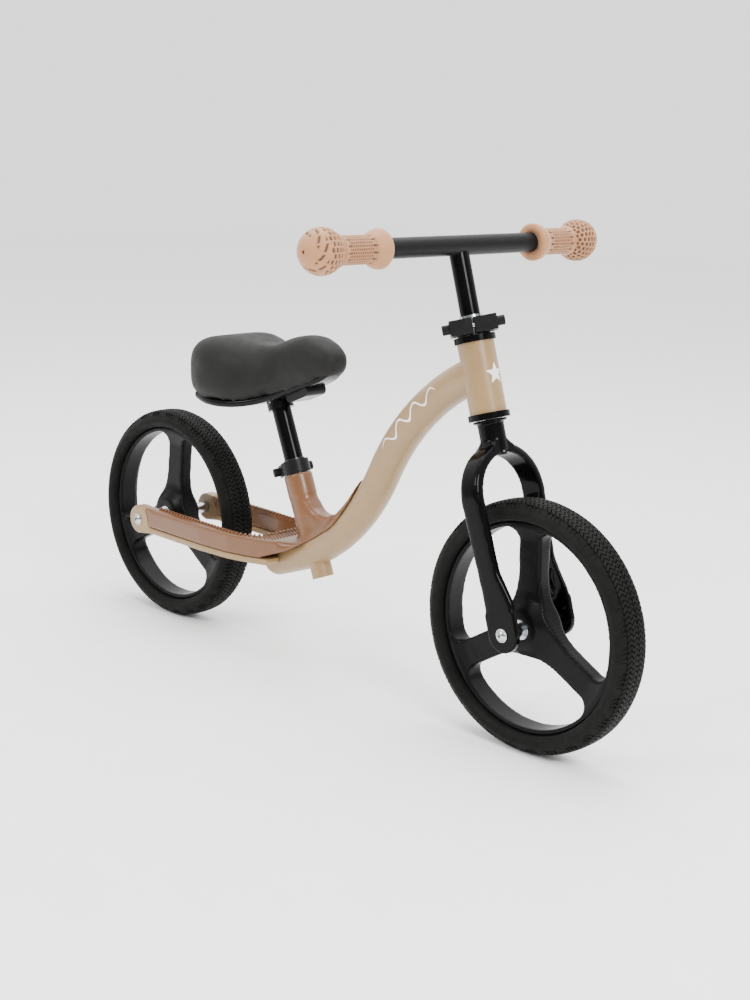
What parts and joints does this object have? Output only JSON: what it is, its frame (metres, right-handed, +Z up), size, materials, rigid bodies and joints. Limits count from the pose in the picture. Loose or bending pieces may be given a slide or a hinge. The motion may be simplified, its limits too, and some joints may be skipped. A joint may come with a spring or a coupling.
{
  "type": "balance bike",
  "caption": "Child's balance bike with a curved main tube, footrest deck, steered fork, spoked wheels, and height-adjustable saddle and handlebar.",
  "frame": {"origin": "on the ground midway between the two wheels, at the middle of the object's width", "axes": "+X forward, +Y to the rider's left, +Z up"},
  "size_m": [0.914, 0.4608, 0.5685],
  "materials": {
    "frame_enamel": "gloss sand-beige powder coat on welded tube",
    "deck_enamel": "satin copper-brown powder coat on cast magnesium",
    "black_enamel": "gloss black powder coat",
    "zinc_hardware": "bright zinc-plated steel",
    "bearing_steel": "ground bearing steel",
    "eva_tyre": "moulded black foam with block tread",
    "wheel_nylon": "moulded glass-filled black nylon",
    "black_plastic": "moulded black nylon",
    "grip_rubber": "soft peach thermoplastic rubber",
    "saddle_skin": "matte dark grey polyurethane skin over foam",
    "saddle_plastic": "gloss black moulded shell",
    "anodised_black": "black anodised clamp parts"
  },
  "bodies": {
    "frame": {"head_tube": "frame_enamel", "main_tube": "frame_enamel", "left_stay": "frame_enamel", "right_stay": "frame_enamel", "footrest_deck": "deck_enamel", "seat_sleeve": "frame_enamel", "seat_clamp_collar": "anodised_black", "seat_clamp_bolt": "zinc_hardware", "seat_clamp_nut": "anodised_black", "seat_clamp_knob": "anodised_black", "lower_headset_cup": "black_enamel", "upper_headset_cup": "black_enamel", "lower_headset_bearing": "bearing_steel", "upper_headset_bearing": "bearing_steel", "rear_axle": "zinc_hardware", "rear_axle_spacers": "zinc_hardware", "rear_axle_washers": "zinc_hardware", "rear_axle_bolts": "zinc_hardware"},
    "rear_wheel": {"rear_wheel": "wheel_nylon", "rear_tyre": "eva_tyre", "rear_wheel_bearings": "bearing_steel"},
    "fork": {"fork": "black_enamel", "steerer_tube": "zinc_hardware", "front_axle": "zinc_hardware", "front_axle_spacers": "zinc_hardware", "front_axle_washers": "zinc_hardware", "front_axle_bolts": "zinc_hardware", "stem_clamp_collar": "anodised_black", "stem_clamp_bolt": "zinc_hardware", "stem_clamp_nut": "anodised_black", "stem_clamp_knob": "anodised_black"},
    "front_wheel": {"front_wheel": "wheel_nylon", "front_tyre": "eva_tyre", "front_wheel_bearings": "bearing_steel"},
    "handlebar": {"stem_tube": "black_enamel", "handlebar": "black_enamel", "bar_end_plugs": "black_plastic", "left_grip": "grip_rubber", "right_grip": "grip_rubber"},
    "seat": {"seat_post": "black_enamel", "seat_post_plug": "black_plastic", "saddle_base": "saddle_plastic", "saddle_pad": "saddle_skin", "saddle_cross_bolt": "zinc_hardware"}
  },
  "joints": [
    {"name": "rear_wheel_spin", "type": "hinge", "parent": "frame", "child": "rear_wheel", "pos_m": [-0.315, 0, 0.142], "axis": [0, 1, 0], "continuous": true},
    {"name": "steering", "type": "hinge", "parent": "frame", "child": "fork", "pos_m": [0.3086, 0, 0.142], "axis": [-0.3074, 0, 0.9516], "continuous": true},
    {"name": "front_wheel_spin", "type": "hinge", "parent": "fork", "child": "front_wheel", "pos_m": [0.315, 0, 0.142], "axis": [0, 1, 0], "continuous": true},
    {"name": "handlebar_height", "type": "slide", "parent": "fork", "child": "handlebar", "axis": [-0.3074, 0, 0.9516], "range_m": [-0.055, 0.035]},
    {"name": "seat_height", "type": "slide", "parent": "frame", "child": "seat", "axis": [-0.3923, 0, 0.9198], "range_m": [-0.05, 0.035]}
  ]
}
